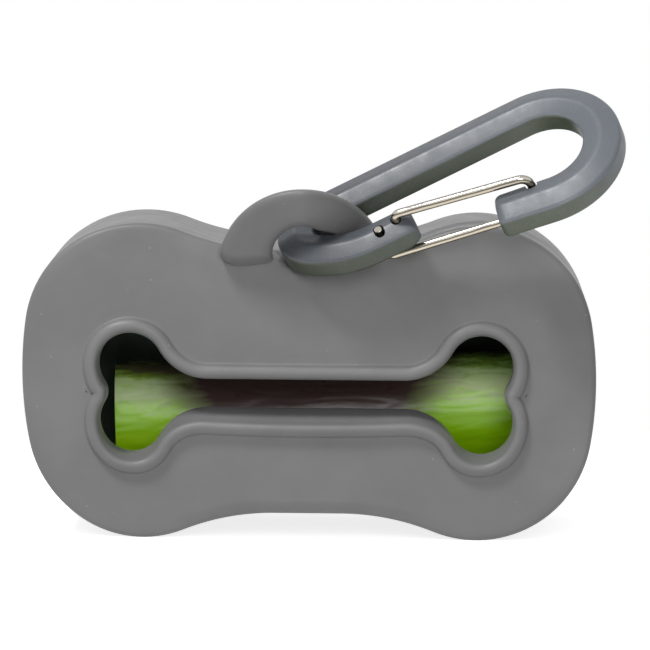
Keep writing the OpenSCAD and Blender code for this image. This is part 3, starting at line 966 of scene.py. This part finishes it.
def spring_wire():
    """Nickel wire, with a painted reflection: bright bands and a dark line along its middle."""
    m = Surface("spring_wire")
    cloud = m.spread(m.noise(2.5, 4), (-0.08, 0.08))
    facing = m.spread(m.math("ADD", m.normal_part(Z), cloud), (0, 1), over=(-1, 1))
    # Painted reflection, banded by which way the wire faces
    m.colour(m.ramp(facing, WIRE_PAINTED_REFLECTION))
    m.roughness(m.spread(cloud, (0.14, 0.24), over=(-0.04, 0.04)))
    m.normal(m.bump(m.noise(0.5, 3), 0.0015))
    m.put(Metallic=1.0)
    return m.material


CARD_TONES = ((0.3, (0.3, 0.22, 0.13)), (0.7, (0.46, 0.37, 0.25)))


def card():
    """Brown card with fibres along the tube and the slanting lay of its strips."""
    m = Surface("core_card")
    fibre = m.noise(0.5, 5, 0.6, stretch=(0.3, 1, 1))
    m.colour(m.ramp(fibre, CARD_TONES))
    m.roughness(m.spread(fibre, (0.75, 0.92)))
    wave = m.texture("ShaderNodeTexWave", {"Scale": 0.12}, bands_direction="DIAGONAL")
    m.normal(m.bump(wave.outputs["Fac"], 0.06, m.bump(fibre, 0.03)))
    return m.material


def paint(material, *objects):
    for obj in objects:
        obj.data.materials.clear()
        obj.data.materials.append(material)


# ---- Studio, in metres --------------------------------------------------------------

FLOOR_AT = (0, -BODY_D * MM / 2, -BODY_H / 2 * MM)
FLOOR_HALF = 6.0
FLOOR_TONE, FLOOR_LIFT = (0.8, 0.8, 0.8, 1), 0.8
# The floor's shadow fades to white between these distances from the point under the pouch
SHADOW_FADE = (0.07, 0.16)
# How strong the white world is as light. It is seen at full strength
AMBIENT = 0.27
LOOK_AT = Vector((0, -0.02, 0.01))
# Square soft boxes: name, place, side and watts
LIGHTS = (
    ("key", (-0.42, -0.5, 1.05), 0.26, 13),
    ("front", (0.1, -1.25, 0.5), 0.6, 5.5),
)


def backdrop_material():
    """Pale floor that the camera sees as white, but for the object's shadow."""
    material = bpy.data.materials.new("backdrop")
    m = Nodes(material)
    plain = m.add("ShaderNodeBsdfDiffuse", {"Color": FLOOR_TONE}).outputs[0]
    white = m.add("ShaderNodeEmission", {"Color": WHITE}).outputs[0]
    lift = m.add("ShaderNodeEmission", {"Strength": FLOOR_LIFT}).outputs[0]
    near = m.join("ShaderNodeAddShader", plain, lift)
    distance = m.add("ShaderNodeVectorMath", operation="LENGTH")
    m.link(m.add("ShaderNodeTexCoord").outputs["Object"], distance.inputs[0])
    far = m.spread(distance.outputs["Value"], (0, 1), over=SHADOW_FADE)
    seen = m.join("ShaderNodeMixShader", far, near, white)
    shown = m.join("ShaderNodeMixShader", m.seen_directly(), plain, seen)
    m.show("ShaderNodeOutputMaterial", shown)
    return material


def make_floor():
    h = FLOOR_HALF
    corners = [(-h, -h, 0), (h, -h, 0), (h, h, 0), (-h, h, 0)]
    floor = mesh_object("floor", corners, [(0, 1, 2, 3)])
    floor.location = FLOOR_AT
    paint(backdrop_material(), floor)


def make_world():
    world = bpy.data.worlds.new("studio")
    bpy.context.scene.world = world
    m = Nodes(world)
    sky = m.add("ShaderNodeBackground", {"Color": WHITE})
    strength = m.spread(m.seen_directly(), (AMBIENT, 1.0), over=(0, 1))
    m.link(strength, sky.inputs["Strength"])
    m.show("ShaderNodeOutputWorld", sky.outputs[0])


def area_light(name, at, size, watts):
    data = bpy.data.lights.new(name, "AREA")
    data.size = size
    data.energy = watts
    lamp = bpy.data.objects.new(name, data)
    bpy.context.collection.objects.link(lamp)
    lamp.matrix_world = look_from(Vector(at), Vector(at) - LOOK_AT)


def make_studio():
    make_floor()
    make_world()
    for light in LIGHTS:
        area_light(*light)
    bpy.context.scene.view_settings.view_transform = "Standard"


# ---- Put together -------------------------------------------------------------------

skin, loop = make_pouch()
roll_film, roll_layers, core = make_roll()
hook = make_hook()
gate = make_gate()

paint(silicone(), skin, loop)
paint(film(), roll_film, roll_layers)
paint(card(), core)
paint(hook_plastic(), hook)
paint(spring_wire(), gate)
make_studio()
